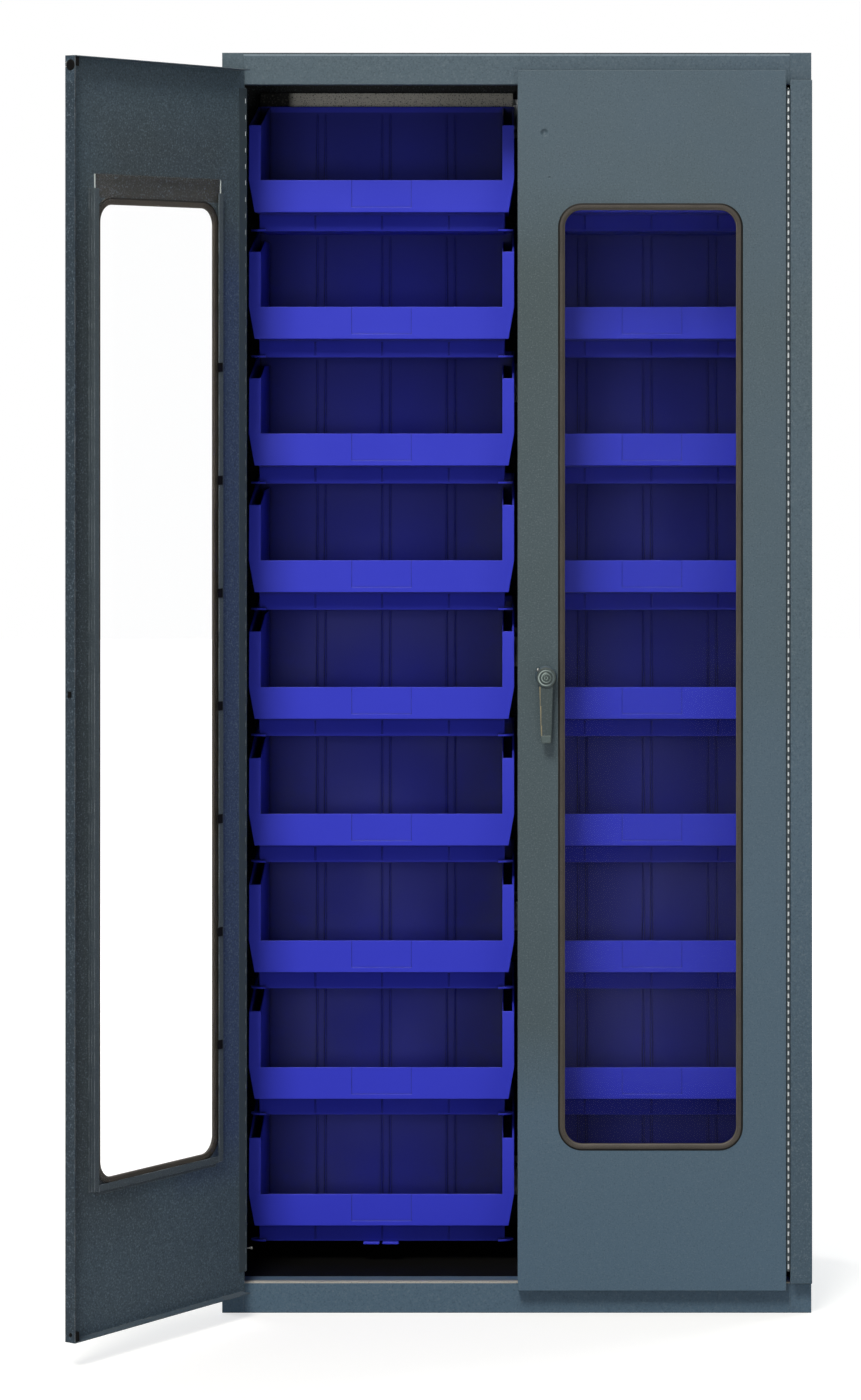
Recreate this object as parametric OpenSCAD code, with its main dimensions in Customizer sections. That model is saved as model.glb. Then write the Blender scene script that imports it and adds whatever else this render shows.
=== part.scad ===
// Parts bin cabinet: a welded steel cabinet with two glazed doors on continuous
// hinges and eighteen hopper-front bins that hang from louvred panels.
// The origin is on the floor, under the middle of the cabinet. X runs to the
// right, Y from front to back and Z up. The left door is drawn standing open.

/* [Cabinet] */
// Width over the two side panels
cab_w = 914.4; // [890:0.1:960]
// Depth from the face of the jambs to the back panel
cab_d = 457.2; // [440:0.1:520]
// Height from the floor to the top panel
cab_h = 1955.8; // [1930:0.1:2010]
// Thickness of the cabinet's sheet steel
sheet = 1.5; // [1.2:0.1:1.8]
// Height of the header's face
header_h = 49.3; // [40:0.1:56]
// Depth of the lip under the header
header_lip = 22; // [19:0.5:30]
// Height of the sill's face
sill_h = 48.5; // [40:0.1:56]
// Depth of the ledge on top of the sill
sill_ledge = 38; // [30:0.5:60]
// Distance from the jamb faces back to the header and the sill
jamb_d = 20; // [18:0.5:26]
// Width of the flange that each side panel turns in behind its jamb
side_flange = 33; // [24:0.5:34]
// Distance from the cabinet's side to the fold inside each jamb
jamb_fold = 15; // [14.5:0.1:18]
// Width of the flange that each side panel turns in at the back
back_flange = 16; // [10:0.5:24]

// Width of the channel under the floor panel
channel_w = 50; // [30:1:90]

/* [Hinges] */
// Distance from the cabinet's side to the hinge axis
hinge_inset = 36.9; // [35:0.1:42]
// Outer radius of the knuckles
barrel_r = 2.8; // [2.6:0.05:3.4]
// Radius of the hinge pins
pin_r = 1.25; // [1:0.05:1.4]
// Thickness of the leaves
leaf_t = 1.2; // [0.8:0.05:1.3]
// Width of a leaf from the axis to its edge
leaf_w = 17; // [12:0.5:18]
// Length of hinge that one knuckle takes up
knuckle = 12.7; // [12.7:0.1:13]
// Number of knuckles on each hinge
knuckles = 144; // [120:2:144]
// Height of the lower end of the hinges
hinge_z = 70; // [55:1:76]

/* [Doors] */
// Angle at which the left door stands open
left_open = 125.4; // [100:0.1:170]
// Depth of a door pan over its flanges
door_t = 19; // [15:0.5:19]
// Overlap of the doors on the header
over_header = 21.1; // [12:0.1:30]
// Overlap of the doors on the sill
over_sill = 10.1; // [6:0.1:20]
// Gap between the two closed doors
door_gap = 3; // [2:0.5:5]
// Distance from a door's free edge to its window trim
win_free = 62.4; // [56:0.1:70]
// Distance from the hinge axis to the window trim
win_hinge = 70.1; // [50:0.1:90]
// Distance from the door's top to the window trim
win_top = 206; // [150:1:300]
// Distance from the door's bottom to the window trim
win_bottom = 217.2; // [150:1:300]
// Radius of the window trim's outer corners
win_r = 37; // [30:0.5:60]
// Width of the rubber window trim
trim_w = 10.8; // [9:0.1:14]
// Height that the trim stands proud of the door's face
trim_proud = 3; // [2:0.1:4]
// Depth of the trim's bead behind the door's face
trim_back = 2.5; // [2:0.1:4]
// Width of the trim that laps over the steel
trim_lap = 5; // [3:0.1:6]

/* [Glazing] */
// Thickness of the clear sheets
pane_t = 3; // [2:0.5:4]
// Distance that a clear sheet reaches past the trim at its sides
pane_side = 3; // [2:0.5:6]
// Distance that a clear sheet reaches above the trim
pane_top = 34; // [10:1:60]
// Thickness of the glazing channels
channel_t = 1.2; // [1:0.1:1.5]
// Width of the flange that welds a channel to the door
channel_foot = 7; // [5:0.5:7]
// Width of the lip that holds the clear sheet
channel_lip = 9; // [7:0.5:12]
// Distance that the side channels reach above the trim
channel_top = 13; // [5:1:30]

/* [Latch] */
// Height of the handle's axis
handle_z = 988.8; // [900:1:1080]
// Distance from the door's free edge to the handle's axis
handle_in = 43.9; // [40:0.1:50]
// Radius of the handle's hub
hub_r = 15.5; // [13:0.1:18]
// Length of the lever from the handle's axis to its tip
lever_l = 101; // [80:1:130]
// Width of the lever where it leaves the hub
lever_neck = 21.4; // [16:0.1:24]
// Width of the lever at its tip
lever_tip = 15.4; // [10:0.1:20]
// Thickness of the lever
lever_t = 9; // [7:0.5:12]
// Space for fingers behind the lever
finger_gap = 13; // [12:0.5:25]
// Radius of the handle's spindle
spindle_r = 5; // [4:0.1:6]
// Radius of the lock plug's face
plug_r = 9; // [7:0.1:10]
// Distance from the handle's axis to each rod's pin
crank_r = 14; // [12:0.1:15]
// Thickness of the cam plate
cam_t = 3; // [2:0.1:4]
// Radius of the cam's pins
crank_pin_r = 2.5; // [2:0.1:3]
// Radius of the latch rods
rod_r = 4; // [3:0.1:4.5]
// Distance from the door's face back to the rods' axis
rod_back = 27.1; // [26:0.1:28]
// Distance between a withdrawn rod's tip and the cabinet's edge
rod_short = 6.5; // [4:0.5:9]

/* [Bins] */
// Number of rows of bins
rows = 9; // [7:1:9]
// Height from one row of bins to the next
row_pitch = 200.3; // [200.3:0.1:203]
// Height of the lowest bins' feet
bin_z = 80.3; // [60:1:100]
// Distance from the jamb faces back to the bins' lips
bin_back = 141; // [100:1:141]
// Width of a bin at its rim
bin_w = 419.1; // [400:0.1:419.1]
// Gap between the two columns of bins
bin_gap = 8.4; // [4:0.1:10]
// Depth of a bin from its lip to its hook
bin_l = 271.5; // [255:0.5:271.5]
// Height of a bin at the back
bin_h = 210; // [205:0.5:212]
// Height of the side posts at the front
post_h = 167; // [150:1:180]
// Height of the front lip's top edge
lip_h = 80; // [60:1:100]
// Height of the front lip's bottom edge
lip_z = 29.5; // [20:0.5:36]
// Thickness of the bins' walls
wall = 3; // [2:0.1:3.5]
// Width of the posts beside the front opening
post_w = 18.5; // [12:0.5:24]
// Distance that a bin's sides draw in from the rim to the base
flare = 10.3; // [6:0.1:14]
// Further distance that the sides step in below the lip
base_in = 5; // [3.5:0.5:8]
// Distance from the lip back to the front of the base
base_back = 30; // [20:0.5:36]
// Width of the label recess
label_w = 95; // [60:1:120]
// Height of the label recess
label_h = 43; // [30:0.5:45]
// Distance between the divider slots
slot_pitch = 106; // [90:1:110]

/* [Louvres] */
// Width of one louvre
louvre_w = 60; // [40:1:80]
// Gap between a bin's hook and the louvred panel
hook_gap = 2.5; // [1:0.1:4]
// Number of louvres behind each bin
louvres = 4; // [2:1:4]
// Height of the hat rails that carry the louvred panels
rail_h = 40; // [30:1:60]
// Number of hat rails
rails = 5; // [3:1:6]
// Radius of the screws that hold the louvred panels to the rails
screw_r = 2.4; // [2:0.1:3]
// Distance of the screws from a louvred panel's edge
screw_in = 17.5; // [12:0.5:25]

/* [Hidden] */
$fn = 64;
BLUE = "#3a3fc4";
PAINT = "#5a666c";
STEEL = "#b9bec2";
RUBBER = "#3b3834";
CLEAR = "#dfe8ee";

run = 0.05;          // running clearance of a pin or spindle in its bore
rest_gap = 0.3;      // gap under something that rests but must lift off
eps = 1;             // overshoot of a cutting tool

front = -cab_d / 2;                 // plane of the jamb faces
body_front = front + jamb_d;        // plane of the header and the sill
back = cab_d / 2;
half = cab_w / 2;
axis_x = half - hinge_inset;
doorway_top = cab_h - header_h;

knuckle_gap = 0.15;                 // each knuckle is this much short of its pitch at each end
notch_gap = 0.5;                    // space round a knuckle in the other leaf
hinge_l = knuckles * knuckle;
knuckle_side = barrel_r + notch_gap;

door_z = sill_h - over_sill;
door_top = doorway_top + over_header;
door_w = axis_x - door_gap / 2;     // from the hinge axis to the free edge
flange_end = barrel_r + 8;          // where the pan's end flanges stop

trim_out_w = door_w - win_free - win_hinge;
trim_z = door_z + win_bottom;
trim_top = door_top - win_top;
trim_out_h = trim_top - trim_z;
pane_y = sheet + trim_back;         // from the door's face to the clear sheet
channel_d = pane_y + pane_t + rest_gap + channel_t;
channel_reach = pane_side + 2.4;    // from the trim to a channel's web

handle_s = door_w - handle_in;      // from the hinge axis to the handle's axis
housing_t = 6;
housing_r = hub_r + 1.5;

hub_front = finger_gap + lever_t + 3;
plug_depth = 9;
plug_proud = 0.8;
cam_y = rod_back - rod_r - 0.5 - cam_t;
rod_plate_t = 3;
rod_travel = 2 * crank_r * sin(45);
guide_t = 2.5;
keeper_w = 2 * rod_r + 4;
keeper_d = 2 * rod_r + 1.8;

bin_front = front + bin_back;
col_x = (bin_w + bin_gap) / 2;
hook_drop = 14;                     // height of the hook's down-turned edge
hook_t = 2.5;
flange_t = 3.5;
hook_reach = 11.5;                  // from the rear wall to the back of the hook
rear_top = bin_l - hook_reach;
rear_foot = rear_top - 24;
post_lean = 8;
foot_t = 3;
panel_y = bin_front + bin_l + hook_gap;
panel_z = bin_z + 10;
panel_top = bin_z + (rows - 1) * row_pitch + bin_h + 23;
louvre_out = hook_gap + hook_t + 3.5 + sheet;
rail_pitch = (panel_top - panel_z - 2 * rail_h) / (rails - 1);
rail_z = panel_z + rail_h;
screw_x = bin_w / 2 - 2 - screw_in; // from each column's middle

// ---- helpers ----

// An outline in Y and Z, drawn out along X between two places.
module along_x(x0, x1) {
    rotate([90, 0, 90]) translate([0, 0, x0]) linear_extrude(x1 - x0) children();
}

// An outline in X and Z, drawn out along Y between two places.
module along_y(y0, y1) {
    rotate([90, 0, 0]) translate([0, 0, -y1]) linear_extrude(y1 - y0) children();
}

module rounded(w, h, r) {
    translate([r, 0]) square([w - 2 * r, h]);
    translate([0, r]) square([w, h - 2 * r]);
    for (x = [r, w - r], y = [r, h - r]) translate([x, y]) circle(r);
}

// Both halves of something drawn for the right-hand side.
module to_side(side) {
    if (side > 0) children();
    else mirror([1, 0, 0]) children();
}

// Things on a door are drawn with the hinge axis on Z, the door closed and
// running to +X, its face at Y = 0 and its inside towards +Y.
module on_right_door() {
    translate([axis_x, front, 0]) mirror([1, 0, 0]) children();
}

module on_left_door() {
    translate([-axis_x, front, 0]) rotate([0, 0, -left_open]) children();
}

// ---- cabinet ----

module side_panel(side) {
    color(PAINT) to_side(side) linear_extrude(cab_h) {
        translate([half - sheet, body_front]) square([sheet, cab_d - jamb_d]);
        translate([half - side_flange, body_front]) square([side_flange, sheet]);
        translate([half - back_flange, back - sheet]) square([back_flange, sheet]);
    }
}

module back_panel() {
    color(PAINT) translate([sheet - half, back - 2 * sheet, 0])
        cube([cab_w - 2 * sheet, sheet, cab_h - sheet]);
}

module top_panel() {
    color(PAINT) along_x(sheet - half, half - sheet) {
        translate([body_front + sheet, cab_h - sheet]) square([cab_d - jamb_d - 2 * sheet, sheet]);
        translate([back - 3 * sheet, cab_h - 20]) square([sheet, 20]);
    }
}

module floor_panel() {
    color(PAINT) along_x(sheet - half, half - sheet) {
        y0 = body_front + sill_ledge;
        translate([y0, sill_h - sheet]) square([back - 2 * sheet - y0, sheet]);
        translate([y0, 0]) square([sheet, sill_h]);
        translate([back - 3 * sheet, 0]) square([sheet, sill_h]);
    }
}

// A channel under the middle of the floor panel that stands on the ground.
module floor_channel() {
    y0 = body_front + sill_ledge + sheet;
    top = sill_h - sheet;
    color(PAINT) along_y(y0, back - 3 * sheet) {
        translate([-channel_w / 2, 0]) square([channel_w, sheet]);
        for (x = [-channel_w / 2, channel_w / 2 - sheet]) translate([x, 0]) square([sheet, top]);
    }
}

// The slot that a latch rod enters, s from the hinge axis.
module rod_keeper(s, z) {
    translate([axis_x - s - keeper_w / 2, front + rod_back - keeper_d / 2, z - eps])
        cube([keeper_w, keeper_d, sheet + 2 * eps]);
}

// The header and the sill stand between the side panels' front flanges, and
// their lips are pierced for the latch rods.
module front_header() {
    color(PAINT) difference() {
        along_x(side_flange - half, half - side_flange) {
            translate([body_front, doorway_top]) square([sheet, header_h]);
            translate([body_front, doorway_top]) square([header_lip, sheet]);
            translate([body_front + header_lip - sheet, doorway_top]) square([sheet, 10]);
        }
        rod_keeper(handle_s - crank_r, doorway_top);
    }
}

module front_sill() {
    color(PAINT) difference() {
        along_x(side_flange - half, half - side_flange) {
            translate([body_front, 0]) square([sheet, sill_h]);
            translate([body_front, sill_h - sheet]) square([sill_ledge, sheet]);
            translate([body_front, 0]) square([14, sheet]);
        }
        rod_keeper(handle_s + crank_r, sill_h - sheet);
    }
}

// A folded channel that stands in front of each side panel's flange and takes
// the hinge behind its face.
module jamb(side) {
    z0 = sill_h + 1;
    color(PAINT) to_side(side) translate([0, 0, z0]) linear_extrude(doorway_top + 6 - z0) {
        translate([axis_x + knuckle_side, front]) square([hinge_inset - knuckle_side, sheet]);
        translate([half - sheet, front]) square([sheet, jamb_d]);
        translate([half - jamb_fold, front]) square([sheet, jamb_d]);
    }
}

// ---- louvred panels ----

// One louvre's section: it leaves the panel at its foot and stands open at the top.
module louvre_section() {
    top = bin_h - flange_t - rest_gap;
    low = top - 22;
    polygon([
        [0, low - 11], [-louvre_out, low], [-louvre_out, top], [sheet - louvre_out, top],
        [sheet - louvre_out, low + 0.7], [0, low - 8.8]
    ]);
}

module louvred_panel(side) {
    pitch = (bin_w - 2 * flare - louvre_w) / louvres;
    color(PAINT) to_side(side) difference() {
        union() {
            translate([col_x - bin_w / 2 + 2, panel_y, panel_z])
                cube([bin_w - 4, sheet, panel_top - panel_z]);
            for (row = [0 : rows - 1], k = [0 : louvres - 1])
                translate([col_x + (k - (louvres - 1) / 2) * pitch, panel_y, bin_z + row * row_pitch])
                    along_x(-louvre_w / 2, louvre_w / 2) louvre_section();
        }
        for (row = [0 : rows - 1], k = [0 : louvres - 1])
            translate([
                col_x + (k - (louvres - 1) / 2) * pitch - louvre_w / 2, panel_y - eps,
                bin_z + row * row_pitch + bin_h - flange_t - 30.5
            ]) cube([louvre_w, sheet + 2 * eps, 26]);
        at_screws(1) along_y(-eps, sheet + eps) circle(screw_r);
    }
}

// Where the screws go through the louvred panel of one column.
module at_screws(side) {
    for (k = [0 : rails - 1], x = [-screw_x, screw_x])
        translate([side * col_x + x, panel_y, rail_z + k * rail_pitch]) children();
}

module panel_screws() {
    color(STEEL) for (side = [-1, 1]) at_screws(side) {
        rotate([90, 0, 0]) cylinder(r1 = 2 * screw_r, r2 = screw_r, h = 1.6);
        along_y(0, 2 * sheet + 5) circle(screw_r);
    }
}

// Hat rails between the louvred panels and the back panel.
module panel_rails() {
    y0 = panel_y + sheet;
    depth = back - 2 * sheet - y0;
    color(STEEL) difference() {
        for (k = [0 : rails - 1]) translate([0, y0, rail_z + k * rail_pitch])
            along_x(-2 * col_x + 14, 2 * col_x - 14) {
                translate([0, -rail_h / 2]) square([sheet, rail_h]);
                for (z = [-rail_h / 2, rail_h / 2 - sheet]) translate([0, z]) square([depth, sheet]);
                for (z = [-rail_h / 2 - 12, rail_h / 2 - sheet])
                    translate([depth - sheet, z]) square([sheet, 12 + sheet]);
            }
        for (side = [-1, 1]) at_screws(side) along_y(sheet - eps, 2 * sheet + eps) circle(screw_r);
    }
}

// ---- hinges ----

// A notched strip rolled round the pin. parity chooses which knuckles it has.
module leaf(parity, bore) {
    color(STEEL) difference() {
        translate([0, 0, hinge_z]) linear_extrude(hinge_l) difference() {
            union() {
                circle(barrel_r);
                translate([0, sheet]) square([leaf_w, leaf_t]);
            }
            circle(bore);
        }
        for (k = [1 - parity : 2 : knuckles - 1])
            translate([-knuckle_side, -knuckle_side, hinge_z + k * knuckle - knuckle_gap])
                cube([2 * knuckle_side, 2 * knuckle_side, knuckle + 2 * knuckle_gap]);
    }
}

module frame_leaf(side) {
    to_side(side) translate([axis_x, front, 0]) leaf(0, pin_r);
}

module hinge_pin(side) {
    color(STEEL) translate([side * axis_x, front, hinge_z - 1]) cylinder(r = pin_r, h = hinge_l + 2);
}

// ---- doors ----

module door_pan(pierced) {
    color(PAINT) difference() {
        union() {
            translate([knuckle_side, 0, door_z])
                cube([door_w - knuckle_side, sheet, door_top - door_z]);
            translate([door_w - sheet, 0, door_z]) cube([sheet, door_t, door_top - door_z]);
            for (z = [door_z, door_top - sheet])
                translate([flange_end, 0, z]) cube([door_w - flange_end, door_t, sheet]);
        }
        translate([win_hinge + trim_lap, 0, trim_z + trim_lap]) along_y(-eps, sheet + eps)
            rounded(trim_out_w - 2 * trim_lap, trim_out_h - 2 * trim_lap, win_r - trim_lap);
        if (pierced)
            translate([handle_s, 0, handle_z]) along_y(-eps, sheet + eps) circle(spindle_r + 0.5);
    }
}

// The rubber's section, measured inwards from its outer edge.
module trim_section() {
    rise = (pow(trim_w / 2, 2) + pow(trim_proud, 2)) / (2 * trim_proud);
    intersection() {
        translate([trim_w / 2, rise - trim_proud]) circle(rise);
        translate([0, -trim_proud]) square([trim_w, trim_proud]);
    }
    translate([trim_lap, 0]) square([trim_w - trim_lap, sheet]);
    translate([0, sheet]) square([trim_w, trim_back]);
}

// A section carried round a rounded rectangle that stands in X and Z. The
// section's X runs inwards from the outer edge and its Y along Y.
module round_frame(w, h, r) {
    for (side = [0, 1]) {
        translate([side * w, 0, r]) linear_extrude(h - 2 * r) mirror([side, 0]) children();
        translate([0, 0, side * h]) mirror([0, 0, side]) along_x(r, w - r)
            mirror([1, -1]) children();
    }
    corners = [[w - r, r], [r, r], [r, h - r], [w - r, h - r]];
    for (k = [0 : 3]) translate([corners[k][0], 0, corners[k][1]]) rotate([0, 90 * k, 0])
        rotate([-90, 0, 0]) rotate_extrude(angle = 90) translate([r, 0]) mirror([1, 0]) children();
}

module window_trim() {
    color(RUBBER) translate([win_hinge, 0, trim_z])
        round_frame(trim_out_w, trim_out_h, win_r) trim_section();
}

module clear_sheet() {
    z0 = trim_z - pane_side;
    color(CLEAR) translate([win_hinge - pane_side, pane_y, z0])
        cube([trim_out_w + 2 * pane_side, pane_t, trim_top + pane_top - z0]);
}

// The section of a glazing channel, with its web at 0 and the sheet towards +X.
module channel_section() {
    translate([-channel_foot, sheet]) square([channel_foot, channel_t]);
    translate([-channel_t, sheet]) square([channel_t, channel_d - sheet]);
    translate([-channel_t, channel_d - channel_t]) square([channel_t + channel_lip, channel_t]);
}

module glazing_channels() {
    z0 = trim_z - channel_reach;
    length = trim_top + channel_top - z0;
    middle = win_hinge + trim_out_w / 2;
    side_x = trim_out_w / 2 + channel_reach;
    low_x = side_x - channel_lip - rest_gap;
    color(PAINT) translate([middle, 0, z0]) {
        for (side = [0, 1]) mirror([side, 0, 0]) translate([-side_x, 0, 0])
            linear_extrude(length) channel_section();
        along_x(-low_x, low_x) mirror([1, -1]) channel_section();
    }
}

// Rubber pads inside the corners of the door and a small one on its free edge.
module door_bumpers(with_edge) {
    pad = 9;
    color(RUBBER) {
        for (z = [door_z + sheet, door_top - sheet - 14])
            translate([door_w - sheet - pad, sheet, z]) cube([pad, door_t - sheet - 1, 14]);
        if (with_edge)
            translate([door_w, 6, handle_z - 4]) cube([1.5, 6, 9]);
    }
}

// ---- latch ----

module handle_housing() {
    color(PAINT) on_right_door() translate([handle_s, 0, handle_z]) difference() {
        rotate([90, 0, 0]) cylinder(r1 = housing_r, r2 = housing_r - 2, h = housing_t);
        along_y(-housing_t - eps, eps) circle(spindle_r + run);
    }
}

module lever_outline() {
    corner = 2;
    circle(hub_r);
    polygon([
        [-lever_neck / 2, -hub_r * 0.6], [-lever_tip / 2, corner - lever_l],
        [corner - lever_tip / 2, -lever_l], [lever_tip / 2 - corner, -lever_l],
        [lever_tip / 2, corner - lever_l], [lever_neck / 2, -hub_r * 0.6]
    ]);
}

module handle_lever() {
    gap = housing_t + rest_gap;
    color(PAINT) on_right_door() translate([handle_s, 0, handle_z]) difference() {
        union() {
            along_y(-finger_gap - lever_t, -finger_gap) lever_outline();
            along_y(-hub_front, -gap) circle(hub_r - 1);
            along_y(-finger_gap - lever_t - 2.5, -finger_gap)
                translate([0.8 - lever_tip / 2, 0.8 - lever_l]) square([lever_tip - 1.6, 10.5]);
        }
        along_y(-hub_front - eps, plug_depth - hub_front) circle(plug_r + run);
        along_y(-gap - 6, -gap + eps) circle(spindle_r);
    }
}

module handle_spindle() {
    color(STEEL) on_right_door() translate([handle_s, 0, handle_z])
        along_y(-housing_t - rest_gap - 6, cam_y + cam_t) circle(spindle_r);
}

module lock_plug() {
    color(STEEL) on_right_door() translate([handle_s, 0, handle_z]) difference() {
        union() {
            along_y(-hub_front - plug_proud, plug_depth - hub_front - 0.2) circle(plug_r);
            along_y(-hub_front - plug_proud - 0.6, -hub_front - plug_proud) circle(plug_r * 0.62);
        }
        translate([-0.6, -hub_front - 3, -3.2]) cube([1.2, 3.5, 6.4]);
    }
}

// The cam plate carries a pin at each end, an eighth of a turn back from level.
module latch_cam() {
    color(STEEL) on_right_door() translate([handle_s, 0, handle_z]) rotate([0, -45, 0]) difference() {
        union() {
            along_y(cam_y, cam_y + cam_t) {
                circle(spindle_r + 5);
                translate([-crank_r, -6]) square([2 * crank_r, 12]);
                for (x = [-crank_r, crank_r]) translate([x, 0]) circle(6);
            }
            for (x = [-crank_r, crank_r]) translate([x, 0, 0])
                along_y(cam_y + cam_t, rod_back + rod_plate_t / 2 + 2) circle(crank_pin_r);
        }
        along_y(cam_y - eps, cam_y + cam_t + eps) circle(spindle_r);
    }
}

module cam_nut() {
    color(STEEL) on_right_door() translate([handle_s, 0, handle_z])
        along_y(cam_y + cam_t, cam_y + cam_t + 2.5) circle(spindle_r + 1.5, $fn = 6);
}

// A round rod with a slotted plate at its inner end that rides on a cam pin.
// way is 1 for the upper rod and -1 for the lower one.
module latch_rod(way) {
    s = handle_s - way * crank_r;
    pin_z = handle_z - way * crank_r * sin(45);
    tip = way > 0 ? doorway_top - rod_short : sill_h + rod_short;
    slot_h = crank_pin_r + 0.6;
    color(STEEL) on_right_door() difference() {
        union() {
            translate([s, rod_back, min(pin_z + way * 9, tip)])
                cylinder(r = rod_r, h = abs(tip - pin_z - way * 9));
            translate([0, rod_back, 0]) along_y(-rod_plate_t / 2, rod_plate_t / 2)
                translate([s - 8, pin_z - (way > 0 ? 7 : 15)]) square([16, 22]);
        }
        translate([0, rod_back, 0]) along_y(-rod_r - eps, rod_r + eps) {
            for (x = [-4.5, 4.5])
                translate([s + x + way * 2, pin_z]) circle(slot_h);
            translate([s - 4.5 + way * 2, pin_z - slot_h]) square([9, 2 * slot_h]);
        }
    }
}

// Folded brackets on the door's inside that keep the rods in line.
module rod_guides() {
    foot = handle_s + crank_r - 9;
    places = [[1, door_top - 48], [1, handle_z + 110], [-1, handle_z - 110], [-1, door_z + 48]];
    color(STEEL) on_right_door() for (p = places) translate([0, 0, p[1]]) difference() {
        union() {
            translate([0, 0, 0]) linear_extrude(guide_t) {
                translate([foot, sheet]) square([20, rod_back - sheet + rod_r + 3]);
                translate([handle_s - crank_r - rod_r - 4, channel_d + 2])
                    square([2 * crank_r + 10, rod_back + rod_r + 1 - channel_d]);
            }
            translate([foot, sheet, 0]) cube([20, guide_t, 14]);
        }
        translate([handle_s - p[0] * crank_r, rod_back, -eps])
            cylinder(r = rod_r + run, h = guide_t + 2 * eps);
    }
}

// ---- bins ----

// The bin seen from the side. inset is 0 for its outside and wall for its inside.
module bin_side(inset) {
    up = 40;            // the inside runs on above the rim
    slope = (rear_top - rear_foot) / bin_h;
    rim = inset == 0
        ? [[rear_top, bin_h], [post_lean, post_h]]
        : [[rear_top - inset + slope * up, bin_h + up], [post_lean + inset, post_h + up],
            [post_lean + inset, post_h]];
    polygon(concat(
        [[base_back + 1 + inset, inset * 1.3], [rear_foot - inset + slope * inset * 1.3, inset * 1.3]],
        rim,
        [[inset, lip_h], [4 + inset, lip_z + inset], [base_back + inset, lip_z - 2 + inset]]
    ));
}

// The bin seen from the front, one wall in for its inside.
module bin_front_view(inset) {
    top = bin_w / 2 - inset;
    foot = bin_w / 2 - flare - inset;
    base = foot - base_in;
    step = lip_z + inset;
    polygon([
        [-base, -eps], [base, -eps], [base + 0.5, step], [foot + 1.5, step], [top, lip_h],
        [top, bin_h + 60], [-top, bin_h + 60], [-top, lip_h], [-foot - 1.5, step], [-base - 0.5, step]
    ]);
}

module bin_form(inset) {
    intersection() {
        along_x(-bin_w / 2, bin_w / 2) bin_side(inset);
        along_y(-5, bin_l + 5) bin_front_view(inset);
    }
}

// Two thin ribs on the rear wall that take the edge of a divider.
module divider_ribs(x) {
    for (side = [-1, 1]) along_x(x + side * 6.75 - 1, x + side * 6.75 + 1)
        polygon([
            [rear_foot - wall - 2, wall], [rear_top - wall - 2.4, bin_h - 14],
            [rear_top - wall / 2, bin_h - 14], [rear_foot - wall / 2, wall]
        ]);
}

module bin_foot() {
    inner = bin_w / 2 - flare - base_in - 10;
    outer = bin_w / 2 - 1.5;
    linear_extrude(foot_t) polygon([
        [inner, base_back - 6], [outer - 5, base_back - 1], [outer, base_back + 5], [outer, base_back + 10],
        [outer - 5, base_back + 16], [inner, base_back + 21]
    ]);
}

module bin() {
    rear_w = bin_w / 2 - 4;
    difference() {
        union() {
            difference() {
                bin_form(0);
                bin_form(wall);
                along_y(-5, post_lean + wall + 1)
                    translate([post_w - bin_w / 2, lip_h]) square([bin_w - 2 * post_w, bin_h]);
            }
            for (k = [-1 : 1]) divider_ribs(k * slot_pitch);
            for (side = [0, 1]) mirror([side, 0, 0]) bin_foot();
            along_x(-rear_w, rear_w) {
                translate([rear_top - 2, bin_h - flange_t]) square([hook_reach + 2, flange_t]);
                translate([bin_l - hook_t, bin_h - hook_drop]) square([hook_t, hook_drop]);
            }
        }
        for (k = [-1 : 1]) translate([k * slot_pitch - 1.5, base_back - 1, 3])
            cube([3, 2.6, lip_z - 8]);
        along_x(-label_w / 2, label_w / 2)
            polygon([[-2, lip_h + eps], [0.7, lip_h + eps], [0.7, lip_h],
                [0.7 + 4 * label_h / (lip_h - lip_z), lip_h - label_h], [-2, lip_h - label_h]]);
    }
}

module bin_at(side, row) {
    color(BLUE) translate([side * col_x, bin_front, bin_z + (rows - row) * row_pitch]) bin();
}

// ---- assembly ----

side_panel(-1);  // left_side_panel
side_panel(1);  // right_side_panel
back_panel();
top_panel();
floor_panel();
front_header();
front_sill();
jamb(-1);  // left_jamb
jamb(1);  // right_jamb
louvred_panel(-1);  // left_louvred_panel
louvred_panel(1);  // right_louvred_panel
floor_channel();
panel_rails();
panel_screws();
frame_leaf(-1);  // left_frame_leaf
frame_leaf(1);  // right_frame_leaf
hinge_pin(-1);  // left_hinge_pin
hinge_pin(1);  // right_hinge_pin
on_left_door() door_pan(false);  // left_door_pan
on_left_door() leaf(1, pin_r + run);  // left_door_leaf
on_left_door() window_trim();  // left_window_trim
on_left_door() clear_sheet();  // left_clear_sheet
on_left_door() glazing_channels();  // left_glazing_channels
on_left_door() door_bumpers(true);  // left_door_bumpers
on_right_door() door_pan(true);  // right_door_pan
on_right_door() leaf(1, pin_r + run);  // right_door_leaf
on_right_door() window_trim();  // right_window_trim
on_right_door() clear_sheet();  // right_clear_sheet
on_right_door() glazing_channels();  // right_glazing_channels
on_right_door() door_bumpers(false);  // right_door_bumpers
handle_housing();
rod_guides();
handle_lever();
handle_spindle();
latch_cam();
cam_nut();
lock_plug();
latch_rod(1);  // upper_latch_rod
latch_rod(-1);  // lower_latch_rod
for (row = [1 : rows]) {
    bin_at(-1, row);
    bin_at(1, row);
}
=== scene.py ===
import math

import bmesh
import bpy
from mathutils import Matrix, Vector


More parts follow.
